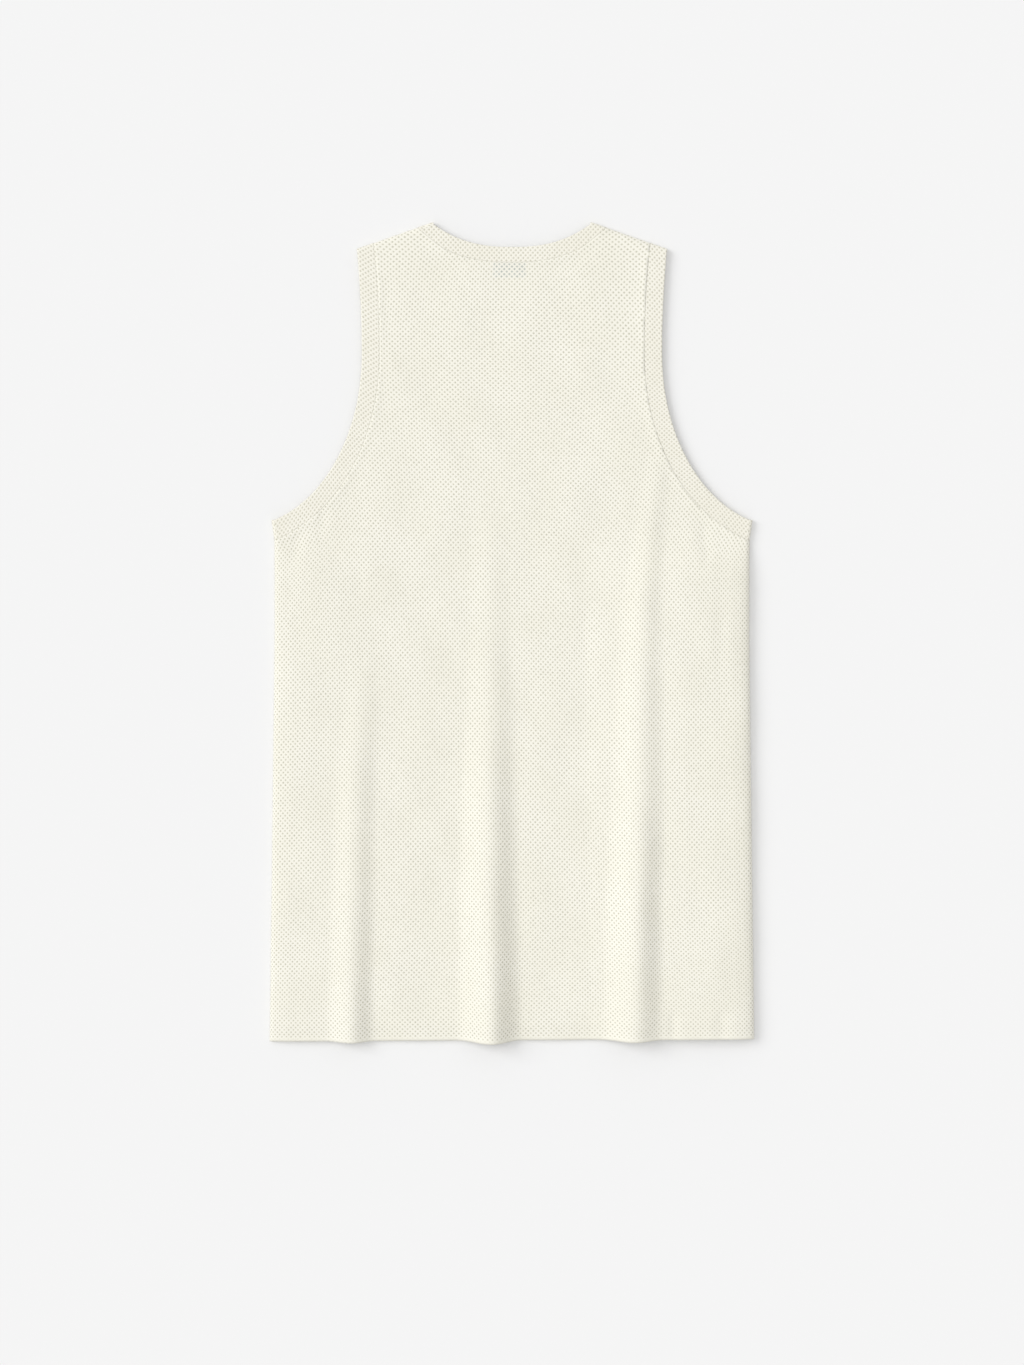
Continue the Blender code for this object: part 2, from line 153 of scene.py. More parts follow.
# Cloth, and the levels that it lies at
CLOTH_THICKNESS = 0.0015
BACK_LEVEL = 0.0055             # upper face of the back panel where it lies flat
SEAM_LEVEL = 0.0018             # the back panel's lower edge at the side seam and the shoulder
SHOULDER_REACH = 0.0030         # how far the shoulder's fold stands out past its line
SHOULDER_ROLL_RUN = 0.0053
SIDE_ROLL_REACH = 0.0040
SIDE_ROLL_RUN = 0.0070
SIDE_ROUNDING = [
    # (distance in from the side, height of the upper face at the left, and at the right)
    (0.0040, 0.0056, 0.0096),
    (0.0080, 0.0063, 0.0110),
    (0.0160, 0.0070, 0.0121),
    (0.0340, 0.0075, 0.0128),
    (0.0600, 0.0072, 0.0126),
    (0.0950, 0.0060, 0.0108),
    (0.1500, 0.0055, 0.0055),
]
ARMHOLE_FOOT = 0.084
ROUNDING_TOP = ARMHOLE_FOOT + 0.010
ROUNDING_FADE = 0.05

# The long folds: a row is a place on the crest, its height, and its reach to either side
FOLDS = {
    "left": [
        # (y, crest x, height, reach left, reach right)
        (-0.373, -0.146, 0.0080, 0.024, 0.021),
        (-0.250, -0.144, 0.0050, 0.023, 0.021),
        (-0.150, -0.142, 0.0034, 0.022, 0.020),
        (-0.070, -0.138, 0.0012, 0.019, 0.019),
        (-0.015, -0.135, 0.0000, 0.016, 0.016),
    ],
    "middle": [
        (-0.373, -0.018, 0.0160, 0.033, 0.027),
        (-0.250, -0.019, 0.0112, 0.032, 0.027),
        (-0.160, -0.020, 0.0080, 0.030, 0.027),
        (-0.070, -0.019, 0.0034, 0.026, 0.024),
        (0.020, -0.020, 0.0016, 0.022, 0.020),
        (0.140, -0.022, 0.0000, 0.018, 0.016),
    ],
    "right": [
        (-0.373, 0.112, 0.0108, 0.031, 0.027),
        (-0.250, 0.113, 0.0112, 0.030, 0.026),
        (-0.160, 0.116, 0.0068, 0.028, 0.026),
        (-0.070, 0.117, 0.0052, 0.026, 0.024),
        (0.020, 0.119, 0.0035, 0.022, 0.020),
        (0.100, 0.127, 0.0017, 0.018, 0.015),
        (0.150, 0.134, 0.0009, 0.015, 0.013),
        (0.185, 0.134, 0.0000, 0.010, 0.010),
    ],
}
HEM_DIP_PER_HEIGHT = 0.15

# Small creases from the underarms and at the hem
CREASES = [
    # (start x, start y, end x, end y, half width, height, below 0 for a trough)
    (-0.192, 0.094, -0.201, 0.060, 0.006, -0.0008),
    (-0.201, 0.060, -0.203, 0.018, 0.007, -0.0006),
    (-0.171, 0.115, -0.175, 0.087, 0.005, -0.0006),
    (-0.139, 0.069, -0.139, 0.030, 0.007, -0.0004),
    (0.174, 0.103, 0.178, 0.060, 0.006, -0.0008),
    (0.190, 0.023, 0.190, -0.037, 0.007, -0.0007),
    (0.067, 0.023, 0.067, -0.037, 0.008, -0.0004),
    (0.146, -0.345, 0.147, -0.375, 0.005, -0.0013),
    (0.190, -0.345, 0.191, -0.375, 0.006, -0.0012),
    (-0.001, -0.360, -0.001, -0.373, 0.006, -0.0009),
]
CREASE_END = 0.4                # share of half a crease that keeps its depth
CREASE_PAST = 0.9               # share of it over which the depth then fades
RIPPLE_HEIGHT = 0.00025
RIPPLE_LENGTH = 0.058
RIPPLES = [
    # (turns across, turns up, share of the height, start, sway, the sway's turns across and up)
    (1.000, 0.210, 1.0, 0.0, 1.7, 0.00, 0.31),
    (-0.217, 0.620, 0.7, 0.0, 1.3, 0.43, 0.00),
    (1.304, 0.815, 0.4, 2.0, 0.0, 0.00, 0.00),
]
RIPPLE_FADE = 0.012             # the seams hold the cloth even

# The stitch: half repeats from the centre line to the side, and how big a repeat is up the body
HALF_COLUMNS = 103
KNIT_GAUGE = [
    # (y, repeat across at the centre, repeat along)
    (-0.340, 0.00450, 0.00425),
    (-0.299, 0.00443, 0.00443),
    (-0.244, 0.00435, 0.00457),
    (-0.190, 0.00435, 0.00461),
    (-0.080, 0.00430, 0.00464),
    (-0.025, 0.00433, 0.00470),
    (0.030, 0.00441, 0.00474),
    (0.084, 0.00446, 0.00470),
    (0.139, 0.00465, 0.00448),
    (0.185, 0.00480, 0.00438),
    (0.231, 0.00493, 0.00434),
    (0.276, 0.00497, 0.00447),
    (0.305, 0.00488, 0.00457),
    (0.325, 0.00472, 0.00455),
    (0.345, 0.00446, 0.00448),
]
STRETCHED_ON_SHOULDER = 0.00137 # how much wider a repeat is on top of the shoulder
STRETCHED_FROM = 14             # repeats out from the centre
STRETCHED_OVER = 2              # repeats over which it sets in
STRETCHED_FROM_Y = 0.300
STRETCHED_FADE = 0.060
GAUGE_NARROWS_FROM = 22         # repeats out from the centre where they start to narrow
CLOTH_BEYOND_SIDE = [
    # (y, how much wider than the side the full count of repeats is above the armhole's foot)
    (0.084, 0.0000),
    (0.139, 0.0145),
    (0.185, 0.0205),
    (0.231, 0.0270),
    (0.313, 0.0240),
]
ROW_ARCH = [
    # (y, how much lower a row runs at 200 mm from the centre)
    (-0.373, 0.0000),
    (-0.300, 0.0030),
    (-0.244, 0.0065),
    (0.030, 0.0065),
    (0.139, 0.0040),
    (0.231, 0.0020),
    (0.300, 0.0000),
]
ROW_ARCH_AT = 0.200
ROWS_ASKEW = [
    # (x, how much lower the rows run because the back isn't laid quite square)
    (-0.220, -0.0015),
    (-0.120, -0.0002),
    (-0.040, 0.0002),
    (0.000, 0.0013),
    (0.050, 0.0035),
    (0.100, 0.0055),
    (0.140, 0.0066),
    (0.165, 0.0066),
    (0.190, 0.0048),
    (0.217, 0.0018),
]
SKEW_TOP_Y = 0.330
SKEW_FADE = 0.080
UNDERARM_DROP = 0.006           # how much lower the rows run at the foot of the armhole
UNDERARM_DROP_FROM = 0.160
UNDERARM_DROP_RUN = 0.060
UNDERARM_DROP_SPREAD = 0.040
ROWS_FOLLOW_HEM = 0.12          # height over which the rows come to run along the hem
FOLD_SAMPLES = 700
ROW_SAMPLES = 2000
TOP_ROW_Y = 0.3740
EYELET_DEPTH = 0.00045
EYELET_FADE = 0.004             # the eyelets' relief sets in over this distance from an edge
HEM_LOWER = 0.0014              # the hem lies this much lower than the cloth above it
HEM_LOWER_REACH = 0.018
HEM_PLAIN = 0.0026              # no eyelets this near to the hem
SEAM_DIP = 0.00006
SEAM_DIP_REACH = 0.0013
SEAM_RISE = 0.00045             # the panel comes up to the band's level at their seam
SEAM_RISE_REACH = 0.008
SEAM_PLAIN = 0.15               # how much the stitches close the eyelets at a seam
SEAM_PLAIN_REACH = 0.0009
EDGE_PINCH = 0.00004            # both faces are drawn in at an edge
EDGE_PINCH_REACH = 0.0014
CUT_SNAP = 0.0004               # a cut past the shoulder takes a vertex that is this near to it
SEAM_SNAP = 0.0006              # a seam takes a vertex that is this near to it

ALONG_SHOULDER = np.array((math.cos(SHOULDER_SLOPE), -math.sin(SHOULDER_SLOPE)))
OFF_SHOULDER = np.array((math.sin(SHOULDER_SLOPE), math.cos(SHOULDER_SLOPE)))
OFF_LEFT_SHOULDER = OFF_SHOULDER * (-1, 1)


def ease(value):
    """Smooth step from 0 to 1."""
    value = np.clip(value, 0.0, 1.0)
    return value * value * (3 - 2 * value)


def read_table(table, place, column=1):
    """One column of a table at any place along its first column."""
    rows = np.array(table)
    return np.interp(place, rows[:, 0], rows[:, column])


def shoulder_y(x):
    """The line that the garment folds over at the shoulders."""
    corner_y = NECK_POINT_Y - SHOULDER_REACH / math.cos(SHOULDER_SLOPE)
    return corner_y - (np.abs(x) - NECK_HALF) * math.tan(SHOULDER_SLOPE)


def past_shoulder(x, y):
    """How far the flat cloth runs on past the shoulder's line."""
    past = np.maximum(0, y - shoulder_y(x)) * math.cos(SHOULDER_SLOPE)
    return np.where(np.abs(x) > NECK_HALF, past, 0.0)


def armhole_edge(share, scooped_deeper=0.0):
    """The right armhole's edge, from the side (0) to the shoulder tip (1)."""
    side_fold = UNDERARM_HALF - SHOULDER_REACH
    corner_angle = math.acos(1 - (side_fold - ARMHOLE_HALF) / SCOOP_REACH)
    angle = corner_angle * np.clip(1 - share / SCOOP_SHARE, 0, 1)
    rise = np.clip((share - SCOOP_SHARE) / (1 - SCOOP_SHARE), 0, 1)
    tip_y = shoulder_y(SHOULDER_HALF)
    y = SCOOP_CENTRE_Y - SCOOP_HEIGHT * np.sin(angle) + (tip_y - SCOOP_CENTRE_Y) * rise
    flare = np.clip((y - STRAP_FLARE_START_Y) / (tip_y - STRAP_FLARE_START_Y), 0, 1)
    x = ARMHOLE_HALF + SCOOP_REACH * (1 - np.cos(angle)) + STRAP_FLARE * flare**STRAP_FLARE_POWER
    return np.stack([x - scooped_deeper * np.sin(math.pi * share), y], axis=-1)


def back_neck_edge(share):
    """The back neckline, from the right corner (0) to the left corner (1)."""
    x = NECK_HALF * (1 - 2 * share)
    low = NECK_POINT_Y - BACK_NECK_DROP
    rise = shoulder_y(NECK_HALF) - low
    return np.stack([x, low + rise * (np.abs(x) / NECK_HALF) ** BACK_NECK_POWER], axis=-1)


def seam_beside(edge, share, width, start_reach, end_reach):
    """The seam at a band's width to the left of its edge; its ends run along the fold lines."""
    run = edge(np.minimum(1, share + SEAM_SAMPLE)) - edge(np.maximum(0, share - SEAM_SAMPLE))
    run /= np.linalg.norm(run, axis=1)[:, None]
    across = np.stack([-run[:, 1], run[:, 0]], axis=-1) * width
    start_weight = ease(1 - share / SEAM_ENDS_SHARE)[:, None]
    end_weight = ease(1 - (1 - share) / SEAM_ENDS_SHARE)[:, None]
    reach = across * (1 - start_weight - end_weight)
    reach = reach + start_reach * start_weight + end_reach * end_weight
    return edge(share) + reach


def armhole_seam(share, gap, scooped_deeper=0.0):
    """Where the armhole band meets a panel, at the right armhole."""
    def edge(place):
        return armhole_edge(place, scooped_deeper)

    width = ARMHOLE_BAND_WIDTH + gap
    side_x = SIDE_SEAM[-1][1] - UNDERARM_HALF
    along_side = np.array((side_x, -ARMHOLE_BAND_SIDE_LENGTH - gap))
    return seam_beside(edge, share, width, along_side, -ALONG_SHOULDER * width)


def neck_seam(edge, share, gap):
    """Where the neck band meets a panel, from the right corner to the left corner."""
    width = NECK_BAND_WIDTH + gap
    right = ALONG_SHOULDER * width
    return seam_beside(edge, share, width, right, right * (-1, 1))


def seam_past_fold(seam, start_off, end_off):
    """A seam's points, carried on past both of its ends."""
    start = seam[0] + np.array(start_off) * PAST_FOLD
    end = seam[-1] + np.array(end_off) * PAST_FOLD
    return np.vstack([start, seam, end])


def cut_lines(neck_edge, scooped_deeper):
    """The panel's seams at the armholes and the neck, with the cloth to the left of each."""
    share = np.linspace(0, 1, ARMHOLE_POINTS)
    right = seam_past_fold(armhole_seam(share, SEAM_GAP, scooped_deeper), (1, 0), OFF_SHOULDER)
    left = right[::-1] * (-1, 1)
    neck_share = np.linspace(0, 1, NECK_POINTS)
    neck = neck_seam(neck_edge, neck_share, SEAM_GAP)
    return [right, left, seam_past_fold(neck, OFF_SHOULDER, OFF_LEFT_SHOULDER)]


def cut_past_shoulders(shape):
    """Cut the flat cloth where it ends behind the shoulder folds."""
    for off_shoulder in (OFF_SHOULDER, OFF_LEFT_SHOULDER):
        side = math.copysign(1, off_shoulder[0])
        corner = np.array((side * NECK_HALF, shoulder_y(NECK_HALF)))
        bmesh.ops.bisect_plane(
            shape, geom=shape.verts[:] + shape.edges[:] + shape.faces[:],
            dist=CUT_SNAP, use_snap_center=True, clear_outer=True,
            plane_co=(*(corner + off_shoulder * SHOULDER_ROLL_RUN), 0.0),
            plane_no=(*off_shoulder, 0.0),
        )


def distance_inside(points, lines):
    """Distance of each point to the nearest line, below 0 outside the cloth, and that place."""
    best = np.full(len(points), np.inf)
    nearest = points.copy()
    sign = np.ones(len(points))
    for line in lines:
        for start, end in zip(line, line[1:]):
            run = end - start
            offset = points - start
            along = np.clip(offset @ run / (run @ run), 0, 1)
            foot = start + along[:, None] * run
            away = np.linalg.norm(points - foot, axis=1)
            closer = away < best
            best[closer] = away[closer]
            nearest[closer] = foot[closer]
            side = run[0] * offset[:, 1] - run[1] * offset[:, 0]
            sign[closer] = np.where(side[closer] < 0, -1, 1)
    return best * sign, nearest


def side_half_width(y):
    return read_table(SIDE_SEAM, y)


def fold_height(x, y):
    """How far the long folds lift the back panel."""
    height = np.zeros(np.broadcast(x, y).shape)
    for rows in FOLDS.values():
        crest, top, left, right = (read_table(rows, y, column) for column in (1, 2, 3, 4))
        away = np.clip(np.abs(x - crest) / np.where(x < crest, left, right), 0, 1)
        height += top * np.cos(away * math.pi / 2) ** 2
    return height


def crease_height(x, y):
    """Small soft troughs, each deepest in its middle and gone past its ends."""
    height = np.zeros(np.broadcast(x, y).shape)
    for start_x, start_y, end_x, end_y, half_width, depth in CREASES:
        run = np.array((end_x - start_x, end_y - start_y))
        length = np.hypot(*run)
        along = ((x - start_x) * run[0] + (y - start_y) * run[1]) / length
        across = ((x - start_x) * run[1] - (y - start_y) * run[0]) / length
        past_end = np.maximum(0, np.abs(along / length - 0.5) * 2 - CREASE_END) / CREASE_PAST
        height += depth * np.exp(-(across / half_width) ** 2) * ease(1 - past_end)
    return height


def ripple_height(x, y):
    """The slight unevenness of cloth smoothed out by hand: waves that don't line up."""
    turn = 2 * math.pi / RIPPLE_LENGTH
    height = np.zeros(len(x))
    for across, up, share, start, sway, sway_across, sway_up in RIPPLES:
        swayed = sway * np.sin(turn * (sway_across * x + sway_up * y))
        height += share * np.sin(turn * (across * x + up * y) + swayed + start)
    return RIPPLE_HEIGHT * height


def hem_line(x, lifted=True):
    """The hem isn't laid quite square, and hangs lower where a fold lifts it."""
    slope = HEM_RISE_TO_RIGHT * x / (2 * side_half_width(HEM_Y))
    dip = HEM_DIP_PER_HEIGHT * fold_height(x, np.full_like(x, HEM_Y)) if lifted else 0.0
    return HEM_Y + HEM_RISE_TO_RIGHT + slope - dip


def stitch_rows():
    """Height of the rows at the centre line against their count in repeats."""
    y = np.linspace(HEM_Y + HEM_RISE_TO_RIGHT, TOP_ROW_Y, ROW_SAMPLES)
    count = np.concatenate([[0], np.cumsum(np.diff(y) / read_table(KNIT_GAUGE, y[1:], 2))])
    whole = round(count[-1])
    return y, count * whole / count[-1], whole


def lay_out_stitches(across, along, folded):
    """Where each point of the stitch lies on the cloth before it rolls at the sides and shoulders.

    across and along are grids of repeats, counted from the centre line and from the hem."""
    row_y, row_count, top_count = stitch_rows()
    y = np.interp(along, row_count, row_y)
    edge_count = HALF_COLUMNS / 2
    side_run = side_half_width(y) - SIDE_ROLL_REACH + SIDE_ROLL_RUN
    half = side_run + read_table(CLOTH_BEYOND_SIDE, y)
    pitch = read_table(KNIT_GAUGE, y, 1)
    narrowing = np.clip((np.abs(across) - GAUGE_NARROWS_FROM) / (edge_count - GAUGE_NARROWS_FROM), 0, 1)
    lost = (pitch * edge_count - half) * (2 * narrowing**3 - narrowing**4)
    past = np.abs(across) - STRETCHED_FROM
    shoulder_share = ease((y - STRETCHED_FROM_Y) / STRETCHED_FADE)
    stretched = STRETCHED_ON_SHOULDER * shoulder_share * 0.5 * (past + np.hypot(past, STRETCHED_OVER))
    x = np.sign(across) * (pitch * np.abs(across) - lost + stretched)
    if folded:
        for row in range(len(x)):
            edge = half[row, 0]
            places = np.linspace(-edge, edge, FOLD_SAMPLES)
            heights = fold_height(places, y[row, 0])
            run = np.concatenate([[0], np.cumsum(np.hypot(np.diff(places), np.diff(heights)))])
            run = (run / run[-1] * 2 - 1) * edge
            inside = np.abs(x[row]) < edge
            x[row] = np.where(inside, np.interp(x[row], run, places), x[row])
    at_hem = ease(1 - (y - row_y[0]) / ROWS_FOLLOW_HEM)
    drop = read_table(ROW_ARCH, y) * (x / ROW_ARCH_AT) ** 2
    outwards = ease((np.abs(x) - UNDERARM_DROP_FROM) / UNDERARM_DROP_RUN)
    drop += UNDERARM_DROP * outwards * np.exp(-((y - ARMHOLE_FOOT) / UNDERARM_DROP_SPREAD) ** 2)
    drop += read_table(ROWS_ASKEW, x) * ease((SKEW_TOP_Y - y) / SKEW_FADE)
    y = y - drop * (1 - at_hem) + at_hem * (hem_line(x, folded) - row_y[0])
    return x, y


def trim_to_seams(shape, lines):
    """Cut the flat cloth along its seams, and drop what is outside them."""
    points = np.array([vert.co[:2] for vert in shape.verts])
    inside, nearest = distance_inside(points, lines)
    on_seam = np.abs(inside) < SEAM_SNAP
    inside[on_seam] = 0.0
    distance = {}
    for index, vert in enumerate(shape.verts):
        distance[vert] = inside[index]
        if on_seam[index]:
            vert.co.xy = nearest[index]
    for edge in list(shape.edges):
        first, second = edge.verts
        if distance[first] * distance[second] < 0:
            share = distance[first] / (distance[first] - distance[second])
            made = bmesh.utils.edge_split(edge, first, share)[1]
            distance[made] = 0.0
    for face in list(shape.faces):
        verts = list(face.verts)
        values = [distance[vert] for vert in verts]
        if min(values) < 0 < max(values):
            cut = [vert for vert in verts if distance[vert] == 0.0]
            bmesh.utils.face_split(face, cut[0], cut[-1])
    outside = [face for face in shape.faces if min(distance[vert] for vert in face.verts) < 0]
    bmesh.ops.delete(shape, geom=outside, context="FACES")


def corner_vertices(mesh):
    """The vertex at each corner of each face."""
    vertices = np.empty(len(mesh.loops), np.int32)
    mesh.loops.foreach_get("vertex_index", vertices)
    return vertices


def corner_places(mesh):
    """The UV place at each corner of each face."""
    places = np.empty(len(mesh.loops) * 2, np.float32)
    mesh.uv_layers[0].uv.foreach_get("vector", places)
    return places.reshape(-1, 2)


def set_stitch(mesh, places):
    """Give each corner of each face its place in the stitch."""
    mesh.uv_layers[0].name = "knit"
    mesh.uv_layers[0].uv.foreach_set("vector", places.astype(np.float32).ravel())


def vertex_vectors(mesh, what):
    """Each vertex's place, as "co", or its normal, as "normal"."""
    vectors = np.empty(len(mesh.vertices) * 3)
    mesh.vertices.foreach_get(what, vectors)
    return vectors.reshape(-1, 3)


def set_points(mesh, points):
    mesh.vertices.foreach_set("co", points.astype(np.float32).ravel())
    mesh.update()


def set_plain(mesh, plain):
    """How much the eyelets are closed at each vertex, for the material."""
    layer = mesh.attributes.new("plain_edge", "FLOAT", "POINT")
    layer.data.foreach_set("value", plain.astype(np.float32))


def eyelet_weight(places):
    """1 in the middle of an eyelet, 0 where the yarns cross."""
    turns = 2 * math.pi * places
    return 0.5 + 0.5 * np.cos(turns[..., 0]) * np.cos(turns[..., 1])


def stitch_grid(name, coarseness, folded):
    """A flat grid of half repeats, or of whole ones at coarseness 2, with the stitch as its UV."""
    top_count = stitch_rows()[2]
    columns = 2 * HALF_COLUMNS // coarseness
    rows = 2 * top_count // coarseness
    bpy.ops.mesh.primitive_grid_add(x_subdivisions=columns, y_subdivisions=rows, size=1)
    skin = bpy.context.object
    skin.name = name
    mesh = skin.data
    set_stitch(mesh, (corner_places(mesh) - (0.5, 0)) * (HALF_COLUMNS, top_count))
    across = np.linspace(-HALF_COLUMNS / 2, HALF_COLUMNS / 2, columns + 1)
    along = np.linspace(0, top_count, rows + 1)
    across, along = np.meshgrid(across, along)
    x, y = lay_out_stitches(across, along, folded)
    set_points(mesh, np.stack([x.ravel(), y.ravel(), np.zeros(x.size)], axis=-1))
    return skin


def knit_skin(name, coarseness, lines, folded, surface, faces_down):
    """One face of a panel: a grid with a vertex at each eyelet and each crossing of the yarns,
    cut to its seams while flat and then laid on the panel's surface."""
    skin = stitch_grid(name, coarseness, folded)
    mesh = skin.data
    shape = bmesh.new()
    shape.from_mesh(mesh)
    uv = shape.loops.layers.uv["knit"]
    cut_past_shoulders(shape)
    trim_to_seams(shape, lines)
    starts_in_eyelet = []
    starts_on_yarn = []
    for face in shape.faces:
        if len(face.verts) == 4:
            place = face.loops[0][uv].uv
            even = round(2 * (place.x + place.y)) % 2 == 0
            (starts_in_eyelet if even else starts_on_yarn).append(face)
    if coarseness == 1:
        bmesh.ops.triangulate(shape, faces=starts_in_eyelet, quad_method="ALTERNATE")
        bmesh.ops.triangulate(shape, faces=starts_on_yarn, quad_method="FIXED")
    if faces_down:
        bmesh.ops.reverse_faces(shape, faces=shape.faces)
    shape.to_mesh(mesh)
    shape.free()

    flat = vertex_vectors(mesh, "co")[:, :2]
    to_seam = distance_inside(flat, lines)[0]
    to_hem = flat[:, 1] - hem_line(flat[:, 0], folded)
    plain = 1 - ease((to_hem - HEM_PLAIN * 0.5) / HEM_PLAIN)
    set_plain(mesh, np.maximum(plain, SEAM_PLAIN * np.exp(-(to_seam / SEAM_PLAIN_REACH) ** 2)))
    set_points(mesh, surface(flat, to_seam))
    return skin, np.minimum(to_seam, to_hem)


def raise_yarn(skin, to_edge, depth, inwards):
    """Press the eyelets into the cloth, or move the whole skin inwards for its other face."""
    mesh = skin.data
    normals = vertex_vectors(mesh, "normal")
    places = np.zeros((len(normals), 2))
    places[corner_vertices(mesh)] = corner_places(mesh)
    sunk = depth * eyelet_weight(places) * ease(to_edge / EYELET_FADE)
    pinch = EDGE_PINCH * np.exp(-(np.maximum(0, to_edge) / EDGE_PINCH_REACH) ** 2)
    move = inwards - pinch if inwards else sunk + pinch
    set_points(mesh, vertex_vectors(mesh, "co") - normals * move[:, None])


def knit_panel(name, lines, folded, surface, faces_down):
    """A panel's two faces, joined round their rims."""
    outer, outer_edge = knit_skin(name, 1, lines, folded, surface, faces_down)
    raise_yarn(outer, outer_edge, EYELET_DEPTH, 0.0)
    inner, inner_edge = knit_skin(name + "_inner", 2, lines, folded, surface, faces_down)
    raise_yarn(inner, inner_edge, 0.0, CLOTH_THICKNESS)
    inner.data.flip_normals()

    bpy.ops.object.select_all(action="DESELECT")
    inner.select_set(True)
    outer.select_set(True)
    bpy.context.view_layer.objects.active = outer
    bpy.ops.object.join()
    bpy.ops.object.mode_set(mode="EDIT")
    bpy.ops.mesh.select_mode(type="EDGE")
    bpy.ops.mesh.select_non_manifold(
        extend=False, use_wire=False, use_boundary=True,
        use_multi_face=False, use_non_contiguous=False, use_verts=False,
    )
    bpy.ops.mesh.bridge_edge_loops()
    bpy.ops.object.mode_set(mode="OBJECT")

    shape = bmesh.new()
    shape.from_mesh(outer.data)
    uv = shape.loops.layers.uv["knit"]
    place = {}
    for face in shape.faces:
        face.smooth = not face.select       # only the rim is selected
        if face.smooth:
            for loop in face.loops:
                place[loop.vert] = loop[uv].uv.copy()
    for face in shape.faces:
        if not face.smooth:
            for loop in face.loops:
                loop[uv].uv = place[loop.vert]
    shape.to_mesh(outer.data)
    shape.free()
    return outer


def back_surface(flat, to_seam):
    """The back panel's upper face, rolled down at the side seams and over the shoulders."""
    q, y = flat.T.copy()
    off_line = past_shoulder(q, y)
    side = side_half_width(y)
    roll_start = side - SIDE_ROLL_REACH
    turn = np.clip((np.abs(q) - roll_start) / SIDE_ROLL_RUN, 0, 1) * math.pi / 2
    x = np.sign(q) * (np.minimum(np.abs(q), roll_start) + SIDE_ROLL_REACH * np.sin(turn))
    below_armhole = ease((ROUNDING_TOP - y) / ROUNDING_FADE)
    distance_in = side - np.abs(x)
    left_z, right_z = (read_table(SIDE_ROUNDING, distance_in, column) for column in (1, 2))
    side_z = np.where(x < 0, left_z, right_z)
    z = BACK_LEVEL + (side_z - BACK_LEVEL) * below_armhole
    z = z + SEAM_RISE * ease(1 - to_seam / SEAM_RISE_REACH)
    z = z - HEM_LOWER * ease(1 - (y - HEM_Y) / HEM_LOWER_REACH)
    z = z + fold_height(x, y) + crease_height(x, y) + ripple_height(x, y) * ease(to_seam / RIPPLE_FADE)
    z = z - SEAM_DIP * np.exp(-(to_seam / SEAM_DIP_REACH) ** 2)
    z = z - (z - SEAM_LEVEL) * (1 - np.cos(turn))
    turn = np.clip(off_line / SHOULDER_ROLL_RUN, 0, 1) * math.pi / 2
    shift = SHOULDER_REACH * np.sin(turn) - off_line
    x += np.sign(x) * OFF_SHOULDER[0] * shift
    y += OFF_SHOULDER[1] * shift
    z = z - (z - SEAM_LEVEL) * (1 - np.cos(turn))
    return np.stack([x, y, z], axis=-1)


# Finish of the openwork knit
YARN_CREAM = (0.830, 0.809, 0.718, 1.0)
YARN_CREAM_LIGHT = (0.850, 0.831, 0.751, 1.0)
# Painted shade: the eyelets are coloured darker to stand for the shade down inside them
EYELET_PAINTED_SHADE = (0.700, 0.682, 0.570, 1.0)
EYELET_OPENNESS = 0.28
KNIT_SHINE = 0.25
KNIT_SHEEN = 0.40
SHEEN_ROUGHNESS = 0.5
YARN_ROUGHNESS = 0.80
YARN_UNEVEN_SCALE = 260.0
BLOTCH_SCALE = 22.0
FIBRE_SCALE = 2600.0
YARNS_MERGE = 0.2
EYELETS_UNEVEN = 0.36
PLAIN_TONE = 0.30               # the tone where there are no eyelets, between yarn and eyelet, with part of the eyelets' painted shade
WALL_RANGE = (0.00, 0.80)       # the eyelets' painted shade, from none on a yarn's back to full at the bottom of an eyelet
HOLE_RANGE = (0.55, 0.95)
BLOTCH_RANGE = (0.30, 0.70)
FIBRE_TONE = 0.12
FIBRE_RELIEF = 0.35
FIBRE_ROUGHNESS = 0.15
TWIST_ALONG = 4.0
TWIST_ACROSS = 2.0
PLY_RELIEF = 0.10
YARN_BUMP = 0.6
YARN_BUMP_DEPTH = 0.0003


def set_inputs(tree, node, inputs):
    """Give a node's inputs their numbers and colours, or link them to other nodes."""
    for name, value in inputs.items():
        if isinstance(value, bpy.types.NodeSocket):
            tree.links.new(value, node.inputs[name])
        else:
            node.inputs[name].default_value = value


def add_math(tree, operation, *values):
    node = tree.nodes.new("ShaderNodeMath")
    node.operation = operation
    set_inputs(tree, node, dict(enumerate(values)))
    return node.outputs[0]


def add_range(tree, value, low, high):
    """0 below low, 1 above high and smooth between."""
    node = tree.nodes.new("ShaderNodeMapRange")
    node.interpolation_type = "SMOOTHSTEP"
    set_inputs(tree, node, {"Value": value, "From Min": low, "From Max": high})
    return node.outputs["Result"]


def add_mix(tree, share, first, second):
    node = tree.nodes.new("ShaderNodeMix")
    node.data_type = "RGBA"
    set_inputs(tree, node, {"Factor": share, "A": first, "B": second})
    return node.outputs["Result"]


def add_noise(tree, coordinates, scale, detail):
    node = tree.nodes.new("ShaderNodeTexNoise")
    set_inputs(tree, node, {"Vector": coordinates, "Scale": scale, "Detail": detail})
    return node.outputs["Fac"]


def add_split(tree, vector):
    """A vector's X, Y and Z."""
    node = tree.nodes.new("ShaderNodeSeparateXYZ")
    set_inputs(tree, node, {"Vector": vector})
    return node.outputs


